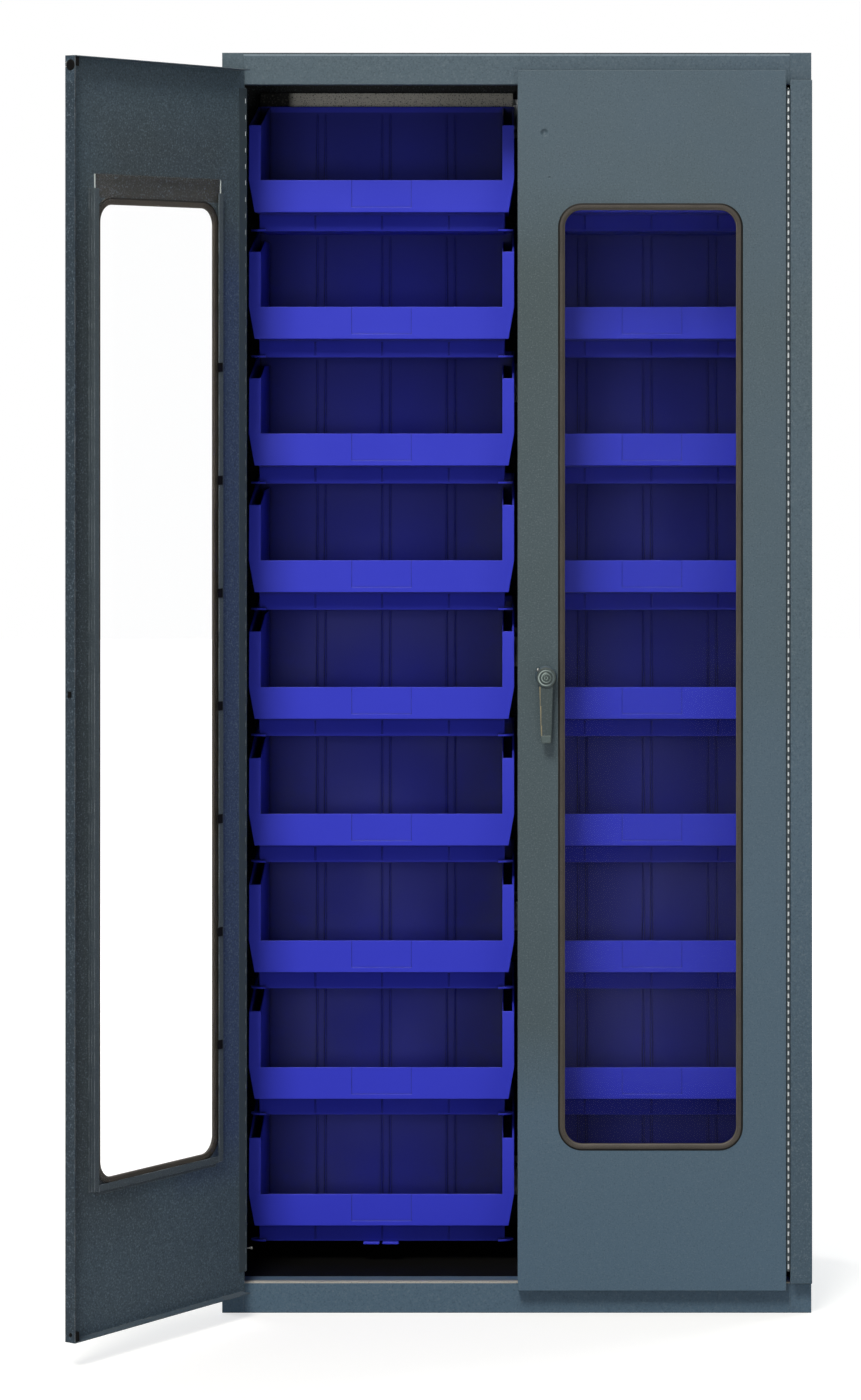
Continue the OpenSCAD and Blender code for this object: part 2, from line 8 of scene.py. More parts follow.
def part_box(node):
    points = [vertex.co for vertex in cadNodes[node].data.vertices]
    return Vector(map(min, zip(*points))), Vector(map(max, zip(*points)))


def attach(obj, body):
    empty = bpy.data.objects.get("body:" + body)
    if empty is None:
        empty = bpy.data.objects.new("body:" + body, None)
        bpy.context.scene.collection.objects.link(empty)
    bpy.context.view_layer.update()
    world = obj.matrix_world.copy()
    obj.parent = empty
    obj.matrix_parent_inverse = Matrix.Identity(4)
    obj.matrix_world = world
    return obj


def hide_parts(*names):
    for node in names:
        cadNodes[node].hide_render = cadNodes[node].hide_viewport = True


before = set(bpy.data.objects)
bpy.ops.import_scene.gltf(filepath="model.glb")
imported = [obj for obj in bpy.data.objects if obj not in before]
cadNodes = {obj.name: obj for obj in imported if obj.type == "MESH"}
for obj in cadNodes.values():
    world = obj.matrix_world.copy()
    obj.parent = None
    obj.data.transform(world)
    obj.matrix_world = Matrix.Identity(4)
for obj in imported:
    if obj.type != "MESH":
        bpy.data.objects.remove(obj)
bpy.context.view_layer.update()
print("frame loaded with", len(cadNodes), "CAD nodes")

# places that part.scad fixes, in metres
jambFace = -0.2286      # plane of the jambs' faces
hingeAxis = 0.4203      # distance of both hinge axes from the middle
doorWidth = 0.4188      # from a hinge axis to its door's free edge
leftOpen = math.radians(125.4)
binRows = 9


def colourOf(hexText):
    parts = [int(hexText[i : i + 2], 16) / 255 for i in (1, 3, 5)]
    return [c / 12.92 if c <= 0.04045 else ((c + 0.055) / 1.055) ** 2.4 for c in parts] + [1.0]


def feed(tree, socket, value):
    # a socket takes a link from another one, or a plain value
    if isinstance(value, bpy.types.NodeSocket):
        tree.links.new(value, socket)
    else:
        socket.default_value = value


def addNode(tree, kind, inputs=None, **settings):
    made = tree.nodes.new(kind)
    for name, value in settings.items():
        setattr(made, name, value)
    for name, value in (inputs or {}).items():
        feed(tree, made.inputs[name], value)
    return made


def sums(tree, how, a, b=0.0):
    return addNode(tree, "ShaderNodeMath", {0: a, 1: b}, operation=how).outputs[0]


def product(tree, first, *others):
    for other in others:
        first = sums(tree, "MULTIPLY", first, other)
    return first


def vectors(tree, how, a, b=None):
    made = addNode(tree, "ShaderNodeVectorMath", {0: a} if b is None else {0: a, 1: b}, operation=how)
    return made.outputs["Value" if how in ("LENGTH", "DISTANCE", "DOT_PRODUCT") else 0]


def axesOf(tree, place):
    return addNode(tree, "ShaderNodeSeparateXYZ", {0: place}).outputs


def cloudOf(tree, place, scale, detail=2.0, roughness=0.5):
    return addNode(tree, "ShaderNodeTexNoise", {
        "Vector": place, "Scale": scale, "Detail": detail, "Roughness": roughness}).outputs[0]


def ramp(tree, value, low, high, toLow=0.0, toHigh=1.0):
    return addNode(tree, "ShaderNodeMapRange", {
        "Value": value, "From Min": low, "From Max": high, "To Min": toLow, "To Max": toHigh}).outputs[0]


def blendColours(tree, factor, a, b):
    mixed = addNode(tree, "ShaderNodeMix", data_type="RGBA")
    for k, value in ((0, factor), (6, a), (7, b)):
        feed(tree, mixed.inputs[k], value)
    return mixed.outputs[2]


def layered(tree, colour, *layers):
    # each layer is a mask and the tone that it lays over the colour
    for mask, tone in layers:
        colour = blendColours(tree, mask, colour, colourOf(tone))
    return colour


def newGroup(name, inputs, outputs):
    group = bpy.data.node_groups.new(name, "ShaderNodeTree")
    kinds = {"value": "NodeSocketFloat", "colour": "NodeSocketColor", "vector": "NodeSocketVector"}
    for label, kind, start in inputs:
        socket = group.interface.new_socket(label, in_out="INPUT", socket_type=kinds[kind])
        if start is not None:
            socket.default_value = start
    for label, kind in outputs:
        group.interface.new_socket(label, in_out="OUTPUT", socket_type=kinds[kind])
    return group, group.nodes.new("NodeGroupInput").outputs, group.nodes.new("NodeGroupOutput").inputs


def useGroup(tree, group, **values):
    made = addNode(tree, "ShaderNodeGroup", node_tree=group)
    for name, value in values.items():
        label = "".join(" " + c if c.isupper() else c for c in name).strip().title()
        feed(tree, made.inputs[label], value)
    return made.outputs


toneCut = {"detail": 4.0, "spread": (0.35, 0.65)}


def makeToneGroup():
    # a slow drift between two tones, cloudy, with a third tone low down
    grey = (0.1, 0.1, 0.1, 1)
    group, given, out = newGroup("toneDrift", [
        ("Vector", "vector", None), ("Base", "colour", grey), ("Other", "colour", grey), ("Low", "colour", grey),
        ("Low Height", "value", 0.3), ("High Height", "value", 1.8), ("Cloud Scale", "value", 3.0),
        ("Cloud Amount", "value", 0.5)], [("Colour", "colour"), ("Cloud", "value")])
    cloud = cloudOf(group, given["Vector"], given["Cloud Scale"], toneCut["detail"])
    height = axesOf(group, given["Vector"])[2]
    falling = ramp(group, height, given["Low Height"], given["High Height"], 1.0, 0.0)
    spread = ramp(group, cloud, *toneCut["spread"])
    toned = blendColours(group, product(group, spread, given["Cloud Amount"]), given["Base"], given["Other"])
    group.links.new(blendColours(group, falling, toned, given["Low"]), out["Colour"])
    group.links.new(spread, out["Cloud"])
    return group


fleckCut = {"detail": 2.0, "light": (0.55, 0.75), "dark": (0.45, 0.25)}


def makeFleckGroup():
    # fine dark and light flecks, as dust caught in the enamel
    group, given, out = newGroup("flecks", [
        ("Vector", "vector", None), ("Scale", "value", 900.0), ("Amount", "value", 0.3)],
        [("Light", "value"), ("Dark", "value")])
    grain = cloudOf(group, given["Vector"], given["Scale"], fleckCut["detail"])
    for name in ("light", "dark"):
        group.links.new(product(group, ramp(group, grain, *fleckCut[name]), given["Amount"]), out[name.title()])
    return group


skinCut = {"waveDetail": 1.0, "grainDetail": 2.0}


def makeSkinGroup():
    # the small waves of a sprayed or moulded skin, with a finer grain over them
    group, given, out = newGroup("skin", [
        ("Vector", "vector", None), ("Wave Scale", "value", 220.0), ("Grain Scale", "value", 1500.0),
        ("Grain", "value", 0.4)], [("Height", "value")])
    wave = cloudOf(group, given["Vector"], given["Wave Scale"], skinCut["waveDetail"])
    grain = cloudOf(group, given["Vector"], given["Grain Scale"], skinCut["grainDetail"])
    group.links.new(sums(group, "ADD", wave, product(group, grain, given["Grain"])), out["Height"])
    return group


scratchCut = {"scale": 6.0, "detail": 6.0, "roughness": 0.7, "thin": (0.62, 0.72), "patchScale": 9.0}


def makeScratchGroup():
    # thin scratches that run mostly one way
    group, given, out = newGroup("scratches", [
        ("Vector", "vector", None), ("Stretch", "vector", (6.0, 60.0, 60.0)), ("Amount", "value", 0.5)],
        [("Mask", "value")])
    stretched = vectors(group, "MULTIPLY", given["Vector"], given["Stretch"])
    lines = cloudOf(group, stretched, scratchCut["scale"], scratchCut["detail"], scratchCut["roughness"])
    patch = cloudOf(group, given["Vector"], scratchCut["patchScale"])
    thin = ramp(group, lines, *scratchCut["thin"])
    group.links.new(product(group, thin, patch, given["Amount"]), out["Mask"])
    return group


edgeCut = {"samples": 6, "bend": (0.97, 0.80), "patchScale": 45.0, "patchDetail": 5.0, "patch": (0.4, 0.6)}


def makeEdgeGroup():
    # worn edges, painted lighter as edge highlights: where a rounded normal leaves the face's own
    group, given, out = newGroup("edgeWearAndHighlight", [
        ("Vector", "vector", None), ("Radius", "value", 0.0015), ("Amount", "value", 1.0)],
        [("Mask", "value"), ("Normal", "vector")])
    rounded = addNode(group, "ShaderNodeBevel", {"Radius": given["Radius"]}, samples=edgeCut["samples"]).outputs[0]
    own = addNode(group, "ShaderNodeNewGeometry").outputs["Normal"]
    edge = ramp(group, vectors(group, "DOT_PRODUCT", rounded, own), *edgeCut["bend"])
    patch = cloudOf(group, given["Vector"], edgeCut["patchScale"], edgeCut["patchDetail"])
    group.links.new(product(group, edge, ramp(group, patch, *edgeCut["patch"]), given["Amount"]), out["Mask"])
    group.links.new(rounded, out["Normal"])
    return group


dustCut = {"facing": (0.5, 0.95), "patchScale": 30.0, "patchDetail": 5.0, "patch": (0.3, 0.7)}


def makeDustGroup():
    # dust that lies on faces that look up
    group, given, out = newGroup("settledDust", [
        ("Vector", "vector", None), ("Amount", "value", 0.3)], [("Mask", "value")])
    up = axesOf(group, addNode(group, "ShaderNodeNewGeometry").outputs["Normal"])[2]
    patch = cloudOf(group, given["Vector"], dustCut["patchScale"], dustCut["patchDetail"])
    lying = product(group, ramp(group, up, *dustCut["facing"]), ramp(group, patch, *dustCut["patch"]), given["Amount"])
    group.links.new(lying, out["Mask"])
    return group


def pastHalf(group, given):
    # how far a place lies past a box's half size, on each axis
    away = vectors(group, "ABSOLUTE", vectors(group, "SUBTRACT", given["Vector"], given["Middle"]))
    return axesOf(group, vectors(group, "SUBTRACT", away, given["Half"]))


wanderCut = {"scale": 28.0, "detail": 3.0}


def makeWindowGroup():
    # how far a place on a door lies outside a round-cornered opening
    group, given, out = newGroup("outsideWindow", [
        ("Vector", "vector", None), ("Middle", "vector", (0, 0, 0)), ("Half", "vector", (0.1, 0.0, 0.5)),
        ("Corner", "value", 0.03), ("Wander", "value", 0.0003)], [("Distance", "value")])
    side = pastHalf(group, given)
    across = sums(group, "ADD", side[0], given["Corner"])
    upward = sums(group, "ADD", side[2], given["Corner"])
    outer = addNode(group, "ShaderNodeCombineXYZ", {
        0: sums(group, "MAXIMUM", across, 0.0), 1: sums(group, "MAXIMUM", upward, 0.0)})
    bend = vectors(group, "LENGTH", outer.outputs[0])
    straight = sums(group, "MINIMUM", sums(group, "MAXIMUM", across, upward), 0.0)
    noisy = cloudOf(group, given["Vector"], wanderCut["scale"], wanderCut["detail"])
    wander = product(group, sums(group, "SUBTRACT", noisy, 0.5), given["Wander"])
    whole = sums(group, "SUBTRACT", sums(group, "ADD", bend, straight), given["Corner"])
    group.links.new(sums(group, "ADD", whole, wander), out["Distance"])
    return group


def makeZoneGroup():
    # a mask that is one inside a box and fades to nothing over its soft edge
    group, given, out = newGroup("zone", [
        ("Vector", "vector", None), ("Middle", "vector", (0, 0, 0)), ("Half", "vector", (0.1, 0.1, 0.1)),
        ("Soft", "value", 0.01)], [("Mask", "value")])
    side = pastHalf(group, given)
    most = sums(group, "MAXIMUM", sums(group, "MAXIMUM", side[0], side[1]), side[2])
    group.links.new(ramp(group, most, 0.0, given["Soft"], 1.0, 0.0), out["Mask"])
    return group


cornerCut = {"samples": 4, "hidden": (0.85, 0.45), "patchScale": 40.0, "patchDetail": 4.0,
             "patch": (0.2, 0.5, 0.6, 1.0)}


def makeCornerGroup():
    # painted shade: darker in inside corners and hollows, from ambient occlusion
    group, given, out = newGroup("cornerShade", [
        ("Vector", "vector", None), ("Reach", "value", 0.005), ("Amount", "value", 0.5)], [("Mask", "value")])
    hidden = addNode(group, "ShaderNodeAmbientOcclusion", {"Distance": given["Reach"]},
                     samples=cornerCut["samples"], only_local=True).outputs["AO"]
    patch = cloudOf(group, given["Vector"], cornerCut["patchScale"], cornerCut["patchDetail"])
    deep = product(group, ramp(group, hidden, *cornerCut["hidden"]), ramp(group, patch, *cornerCut["patch"]))
    group.links.new(product(group, deep, given["Amount"]), out["Mask"])
    return group


toneDrift = makeToneGroup()
flecks = makeFleckGroup()
skin = makeSkinGroup()
scratches = makeScratchGroup()
edgeWearAndHighlight = makeEdgeGroup()
settledDust = makeDustGroup()
outsideWindow = makeWindowGroup()
zone = makeZoneGroup()
cornerShade = makeCornerGroup()


def startMaterial(name):
    material = bpy.data.materials.new(name)
    material.use_nodes = True
    tree = material.node_tree
    tree.nodes.clear()
    place = addNode(tree, "ShaderNodeTexCoord").outputs["Object"]
    shader = addNode(tree, "ShaderNodeBsdfPrincipled")
    addNode(tree, "ShaderNodeOutputMaterial", {"Surface": shader.outputs[0]})
    return material, tree, place, shader


def plug(tree, shader, **values):
    names = {"colour": "Base Color", "roughness": "Roughness", "metallic": "Metallic", "normal": "Normal",
             "specular": "Specular IOR Level", "ior": "IOR", "clearness": "Transmission Weight"}
    for key, value in values.items():
        feed(tree, shader.inputs[names[key]], value)


def bumped(tree, height, strength, distance, normal=None):
    inputs = {"Height": height, "Strength": strength, "Distance": distance}
    if normal is not None:
        inputs["Normal"] = normal
    return addNode(tree, "ShaderNodeBump", inputs).outputs[0]


# each of these lays one shared effect into a material, with the values of its look
def rippled(tree, place, look, normal=None):
    ripple = useGroup(tree, skin, vector=place, waveScale=look["waveScale"], grainScale=look["grainScale"],
                      grain=look["grain"])
    return bumped(tree, ripple["Height"], look["skin"], look["skinDepth"], normal)


def toneOf(tree, place, look):
    return useGroup(tree, toneDrift, vector=place, base=colourOf(look["base"]), other=colourOf(look["other"]),
                    low=colourOf(look["low"]), lowHeight=look["lowHeight"], highHeight=look["highHeight"],
                    cloudScale=look["cloudScale"], cloudAmount=look["cloudAmount"])


# the edge mask lays worn paint and painted highlights along the edges
def edgeOf(tree, place, look):
    return useGroup(tree, edgeWearAndHighlight, vector=place, radius=look["edgeRadius"], amount=look["edge"])


def scratchOf(tree, place, look):
    return useGroup(tree, scratches, vector=place, stretch=look["scratchStretch"], amount=look["scratch"])["Mask"]


def fleckOf(tree, place, look, amount):
    return useGroup(tree, flecks, vector=place, scale=look["fleckScale"], amount=amount)


def dustOf(tree, place, look):
    return useGroup(tree, settledDust, vector=place, amount=look["dust"])["Mask"]


enamel = {"base": "#4f606c", "other": "#4c5a5e", "low": "#4c6375", "lowHeight": 0.0, "highHeight": 1.5,
          "cloudScale": 2.2, "cloudAmount": 0.7, "roughness": (0.44, 0.54), "specular": 0.3, "metallic": 0.0,
          "flecks": 0.45, "fleckScale": 400.0, "lightFleck": "#717c82", "darkFleck": "#313b42",
          "edge": 0.4, "edgeRadius": 0.0022, "edgeWearHighlightTone": "#7b868d", "dust": 0.2, "dustTone": "#75756f",
          "scratch": 0.35, "scratchStretch": (5.0, 50.0, 50.0), "scratchTone": "#68747b",
          "waveScale": 260.0, "grainScale": 1600.0, "grain": 0.5, "skin": 0.12, "skinDepth": 0.0006,
          "outer": "#4f606b"}
# how deep in the open door its inner side begins, and the grain of its outer side
innerSide = {"from": 0.0003, "to": 0.0006, "outerFlecks": 0.3}


def shutPlace(tree, place):
    # the left door's places, turned back to its shut position
    return addNode(tree, "ShaderNodeVectorRotate", {
        "Vector": place, "Center": (-hingeAxis, jambFace, 0.0), "Angle": leftOpen}, rotation_type="Z_AXIS").outputs[0]


def zoned(tree, place, colour, zones):
    # each zone is a box's two corners, its soft edge, how much it covers, and its tone
    for low, high, soft, amount, tone in zones:
        middle, half = [(a + b) / 2 for a, b in zip(low, high)], [(b - a) / 2 for a, b in zip(low, high)]
        mask = useGroup(tree, zone, vector=place, middle=middle, half=half, soft=soft)["Mask"]
        colour = layered(tree, colour, (product(tree, mask, amount), tone))
    return colour


def dented(tree, place, normal, dents):
    # each dent is a round bowl: its middle, its radius and its depth
    for centre, radius, depth in dents:
        bowl = ramp(tree, vectors(tree, "DISTANCE", place, centre), 0.0, radius)
        bowl = addNode(tree, "ShaderNodeMapRange", {"Value": bowl}, interpolation_type="SMOOTHERSTEP").outputs[0]
        normal = bumped(tree, bowl, 1.0, depth, normal)
    return normal


def ringed(tree, place, colour, normal, rings):
    # rings turned round an axis that lies along y, their lines painted as highlights, brighter on one side
    away = vectors(tree, "MULTIPLY", vectors(tree, "SUBTRACT", place, rings["centre"]), (1.0, 0.0, 1.0))
    away = vectors(tree, "LENGTH", away)
    wave = sums(tree, "FRACT", sums(tree, "DIVIDE", away, rings["pitch"]))
    wave = sums(tree, "ABSOLUTE", sums(tree, "SUBTRACT", wave, 0.5))
    aside = sums(tree, "SUBTRACT", axesOf(tree, place)[0], rings["centre"][0])
    line = product(tree, ramp(tree, wave, *rings["line"]),
                   ramp(tree, away, rings["outer"], rings["outer"] - rings["fade"]), ramp(tree, aside, *rings["lit"]))
    colour = layered(tree, colour, (product(tree, line, rings["amount"]), rings["tone"]))
    return colour, bumped(tree, line, rings["strength"], rings["depth"], normal)


def enamelFinish(name, look, dents=(), zones=(), turned=False):
    material, tree, place, shader = startMaterial(name)
    grain = look["flecks"]
    if turned:
        # the zones and the stronger grain belong to the open door's inner side
        place = shutPlace(tree, place)
        inner = ramp(tree, axesOf(tree, place)[1], jambFace + innerSide["from"], jambFace + innerSide["to"])
        grain = ramp(tree, inner, 0.0, 1.0, innerSide["outerFlecks"], look["flecks"])
    tone = toneOf(tree, place, look)
    speck = fleckOf(tree, place, look, grain)
    edge = edgeOf(tree, place, look)
    colour = zoned(tree, place, tone["Colour"], zones)
    if turned:
        colour = blendColours(tree, inner, colourOf(look["outer"]), colour)
    colour = layered(tree, colour, (speck["Light"], look["lightFleck"]), (speck["Dark"], look["darkFleck"]),
                     (scratchOf(tree, place, look), look["scratchTone"]), (edge["Mask"], look["edgeWearHighlightTone"]),
                     (dustOf(tree, place, look), look["dustTone"]))
    normal = dented(tree, place, rippled(tree, place, look, edge["Normal"]), dents)
    if "rings" in look:
        colour, normal = ringed(tree, place, colour, normal, look["rings"])
    plug(tree, shader, colour=colour, roughness=ramp(tree, tone["Cloud"], 0.0, 1.0, *look["roughness"]),
         normal=normal, specular=look["specular"], metallic=look["metallic"])
    return material


slateEnamel = enamelFinish("slateEnamel", enamel)

# a painted highlight along the sill's upper edge; on the header's top, a painted highlight line with a painted shadow
# line above it
sillHighlight = [((-0.4236, -0.24, 0.0462), (0.4236, -0.2, 0.0487), 0.0005, 0.85, "#b7b1a4")]
sillEnamel = enamelFinish("sillEnamel", enamel, zones=sillHighlight)
headerZones = [((-0.456, -0.24, 1.9510), (0.456, -0.2, 1.9536), 0.0005, 0.5, "#93a3ad"),
               ((-0.458, -0.24, 1.9541), (0.458, -0.2, 1.9560), 0.0003, 0.75, "#1c242a")]
headerEnamel = enamelFinish("headerEnamel", enamel, zones=headerZones)

# the right jamb is darker low down
jambZones = [((0.40, -0.3, -0.1), (0.46, -0.2, 0.25), 0.55, 0.7, "#3f505c")]
jambEnamel = enamelFinish("jambEnamel", enamel, zones=jambZones)

# the right door has two dents, and painted shade, a darker greener tone, beside the handle
doorDents = [((0.0427, jambFace, 1.831), 0.0075, 0.0036), ((0.0505, jambFace, 1.7612), 0.003, 0.0012)]
doorShade = [((-0.05, -0.3, 0.45), (0.045, 0.0, 1.62), 0.14, 0.7, "#434f4f")]
rightDoorEnamel = enamelFinish("rightDoorEnamel", dict(enamel, flecks=0.42, fleckScale=460.0), doorDents, doorShade)

# the handle: its hub turned in rings whose lines are painted highlights; its edges worn, with painted highlights of
# pale olive
hubRingHighlights = {"centre": (0.0454, 0.0, 0.9888), "pitch": 0.0046, "line": (0.24, 0.13), "outer": 0.0136, "fade": 0.0005,
            "lit": (0.009, -0.006, 0.15, 1.0), "amount": 0.8, "tone": "#a9b8b2", "strength": 0.6, "depth": 0.0006}
leverLook = dict(enamel, base="#3f4b4c", other="#3c4646", low="#3f4b4c", flecks=0.3, edge=0.5, edgeRadius=0.0016,
                 edgeWearHighlightTone="#7d8074", skin=0.08, rings=hubRingHighlights)
# painted highlights: a lighter band at the lever's tip, and a pale olive line down its left edge, in steps
leverHighlights = [((0.02, -0.3, 0.8860), (0.08, 0.0, 0.8995), 0.0006, 0.6, "#5c6a69"),
              ((0.0340, -0.3, 0.9450), (0.0364, 0.0, 0.9750), 0.0005, 0.8, "#94896a"),
              ((0.0350, -0.3, 0.9150), (0.0376, 0.0, 0.9450), 0.0005, 0.8, "#94896a"),
              ((0.0362, -0.3, 0.8995), (0.0388, 0.0, 0.9150), 0.0005, 0.8, "#94896a")]
leverEnamel = enamelFinish("leverEnamel", leverLook, zones=leverHighlights)
lockLook = dict(leverLook, base="#525c5a", other="#4b5553", low="#525c5a", edge=0.5, edgeWearHighlightTone="#8d9893", metallic=1.0)
lockNickel = enamelFinish("lockNickel", lockLook)

# the open door, in its shut places: a darker olive tone over its middle towards the free edge; painted shade on its
# free edge; the blue strip by the hinge, painted as blue light thrown from the bins; the brown band over the window and
# its fading; the dark strip by the free edge, a painted shadow; and the pale line by the hinge, a painted highlight
# painted shade: the inner side's tones are a darker copy of the enamel's
leftDoorLook = dict(enamel, base="#4b5b66", other="#48565b", low="#45545f", flecks=0.7, fleckScale=380.0,
                    lightFleck="#6f7f8a", darkFleck="#272e33", edgeWearHighlightTone="#8f9290", edge=0.55)
leftDoorZones = [
    ((-0.065, -0.3, 0.30), (0.05, 0.0, 1.62), 0.16, 0.75, "#373d3f"),
    ((-0.0035, -0.3, 0.0), (0.01, 0.0, 1.95), 0.0008, 0.9, "#35434f"),
    ((-0.43, -0.3, 0.30), (-0.345, 0.0, 1.60), 0.10, 0.8, "#37466a"),
    ((-0.3594, -0.3, 1.7216), (-0.0671, 0.0, 1.7556), 0.002, 0.85, "#38332d"),
    ((-0.340, -0.3, 1.70), (-0.120, 0.0, 1.80), 0.09, 0.35, "#3b3833"),
    ((-0.0145, -0.3, 0.05), (-0.0050, 0.0, 1.885), 0.006, 0.55, "#1c1d1d"),
    ((-0.4064, -0.3, 0.08), (-0.4044, 0.0, 1.8850), 0.0006, 0.55, "#93a0a8"),
]
leftDoorEnamel = enamelFinish("leftDoorEnamel", leftDoorLook, zones=leftDoorZones, turned=True)
channelLook = dict(enamel, base="#4f5a60", other="#474f53", low="#414a51", edgeWearHighlightTone="#a2aab0", edge=0.9,
                   edgeRadius=0.0012)
leftChannelEnamel = enamelFinish("leftChannelEnamel", channelLook, turned=True)

# the back is enamelled outside and dark inside
backLow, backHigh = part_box("back_panel")
backZones = [((-0.5, -0.3, -0.1), (0.5, (backLow[1] + backHigh[1]) / 2, 2.1), 0.0001, 1.0, "#242320")]
backEnamel = enamelFinish("backEnamel", enamel, zones=backZones)

# bare primer on the louvred panels, its grain coarse; along their tops a pale band painted as light falling there
innerLook = dict(enamel, base="#2a2926", other="#242320", low="#1d1c1a", roughness=(0.66, 0.76), flecks=0.5, edge=0.2,
                 dust=0.15, dustTone="#3a3833", lightFleck="#4a473f", darkFleck="#131210", scratchTone="#3a3833")
primerLook = dict(innerLook, base="#1d1c1a", other="#191816", low="#171614", flecks=1.0, fleckScale=300.0,
                  lightFleck="#5b574e", darkFleck="#0c0b0a")
# painted light: the pale band along the panels' tops, its left end cut short as a painted shadow of the left jamb
panelLitBand = [((-0.3650, 0.10, 1.8870), (0.50, 0.30, 2.00), 0.010, 1.0, "#cfc9ba")]
panelPrimer = enamelFinish("panelPrimer", primerLook, zones=panelLitBand)
# painted shade: the floor panel and channel below the bins are near black
floorShadeLook = dict(innerLook, base="#0a0a09", other="#080807", low="#080807", dust=0.0, flecks=0.3, edge=0.0,
                 specular=0.1, lightFleck="#1c1b19", scratchTone="#12110f")
floorShadeBlack = enamelFinish("floorShadeBlack", floorShadeLook)


binLook = {"base": "#353ccd", "other": "#3138c4", "low": "#343bd0", "lowHeight": 0.0, "highHeight": 2.2,
           "cloudScale": 7.0, "cloudAmount": 0.6, "roughness": (0.38, 0.49), "specular": 0.24,
           "edge": 0.6, "edgeRadius": 0.0018, "edgeWearHighlightTone": "#6468ee", "dust": 0.12, "dustTone": "#6d6f96",
           "scratch": 0.25, "scratchStretch": (8.0, 60.0, 60.0), "scratchTone": "#4c50d8",
           "cornerShadeReach": 0.006, "paintedCornerShade": 0.95, "cornerShadeTone": "#10122f",
           "insideReach": 0.16, "inside": 1.0, "insideTone": "#3c3f88",
           "waveScale": 90.0, "grainScale": 1200.0, "grain": 0.25, "skin": 0.08, "skinDepth": 0.0008}
# painted shade: each base's front under the lip is darker, and duller; bottom and pitch are those of the rows
underLipShade = {"bottom": 0.0803, "pitch": 0.2003, "tall": 0.0280, "fade": 0.01, "front": -0.0605, "back": -0.0500,
             "soft": 0.001, "amount": 0.42, "tone": "#04053c", "duller": 0.45}
# painted shadow: the rear walls are darker, most of all near their tops
rearWallShadow = {"depth": (0.02, 0.12), "rising": (0.35, 0.95, 0.10, 0.55), "tone": "#04053c"}


def binShades(tree, place):
    # masks of the painted shade on the bases' fronts and of the painted shadow on the rear walls
    axes = axesOf(tree, place)
    level = sums(tree, "DIVIDE", sums(tree, "SUBTRACT", axes[2], underLipShade["bottom"]), underLipShade["pitch"])
    level = sums(tree, "FRACT", level)
    share = underLipShade["tall"] / underLipShade["pitch"]
    front, back, soft = underLipShade["front"], underLipShade["back"], underLipShade["soft"]
    underLipMask = product(tree, ramp(tree, level, share, share - underLipShade["fade"]),
                    ramp(tree, axes[1], front, front + soft), ramp(tree, axes[1], back, back - soft))
    rearShadowMask = product(tree, ramp(tree, axes[1], *rearWallShadow["depth"]), ramp(tree, level, *rearWallShadow["rising"]))
    return underLipMask, rearShadowMask


def plasticFinish(name, look):
    material, tree, place, shader = startMaterial(name)
    tone = toneOf(tree, place, look)
    edge = edgeOf(tree, place, look)
    # painted shade and shadow: the bases' fronts under the lips, the rear walls' tops, small inside corners and the
    # bins' deep insides are darkened
    underLipMask, rearShadowMask = binShades(tree, place)
    paintedCornerShade = useGroup(tree, cornerShade, vector=place, reach=look["cornerShadeReach"], amount=look["paintedCornerShade"])["Mask"]
    inside = useGroup(tree, cornerShade, vector=place, reach=look["insideReach"], amount=look["inside"])["Mask"]
    inside = product(tree, inside, sums(tree, "SUBTRACT", 1.0, underLipMask))
    colour = layered(tree, tone["Colour"], (edge["Mask"], look["edgeWearHighlightTone"]), (inside, look["insideTone"]),
                     (paintedCornerShade, look["cornerShadeTone"]), (product(tree, underLipMask, underLipShade["amount"]), underLipShade["tone"]),
                     (rearShadowMask, rearWallShadow["tone"]), (scratchOf(tree, place, look), look["scratchTone"]),
                     (dustOf(tree, place, look), look["dustTone"]))
    rough = sums(tree, "ADD", ramp(tree, tone["Cloud"], 0.0, 1.0, *look["roughness"]),
                 product(tree, underLipMask, underLipShade["duller"]))
    plug(tree, shader, colour=colour, roughness=rough, normal=rippled(tree, place, look, edge["Normal"]),
         specular=look["specular"])
    return material


bluePlastic = plasticFinish("bluePlastic", binLook)


steelLook = {"base": "#b4b6b4", "other": "#8d8f8d", "low": "#8d8f8d", "lowHeight": -1.0, "highHeight": 0.0,
             "cloudScale": 60.0, "cloudAmount": 1.0, "roughness": (0.34, 0.46), "edge": 0.6, "edgeRadius": 0.0006,
             "edgeWearHighlightTone": "#dcdedc", "scratch": 0.8, "scratchStretch": (60.0, 60.0, 6.0), "scratchRough": 0.2,
             "scratchBump": 0.15, "scratchDepth": 0.0003}


def zincFinish(name, look):
    material, tree, place, shader = startMaterial(name)
    tone = toneOf(tree, place, look)
    scratch = scratchOf(tree, place, look)
    edge = edgeOf(tree, place, look)
    rough = sums(tree, "ADD", ramp(tree, tone["Cloud"], 0.0, 1.0, *look["roughness"]),
                 product(tree, scratch, look["scratchRough"]))
    plug(tree, shader, colour=layered(tree, tone["Colour"], (edge["Mask"], look["edgeWearHighlightTone"])), roughness=rough,
         normal=bumped(tree, scratch, look["scratchBump"], look["scratchDepth"], edge["Normal"]), metallic=1.0)
    return material


zincSteel = zincFinish("zincSteel", steelLook)


rubberLook = {"base": "#474139", "other": "#3e3933", "low": "#474139", "lowHeight": -1.0, "highHeight": 0.0,
              "cloudScale": 14.0, "cloudAmount": 1.0, "roughness": (0.55, 0.65), "specular": 0.4,
              "flecks": 0.35, "fleckScale": 900.0, "fleckTone": "#6e6a63",
              "edge": 0.2, "edgeRadius": 0.001, "edgeWearHighlightTone": "#77736c",
              "waveScale": 160.0, "grainScale": 1300.0, "grain": 0.6, "skin": 0.2, "skinDepth": 0.0006}


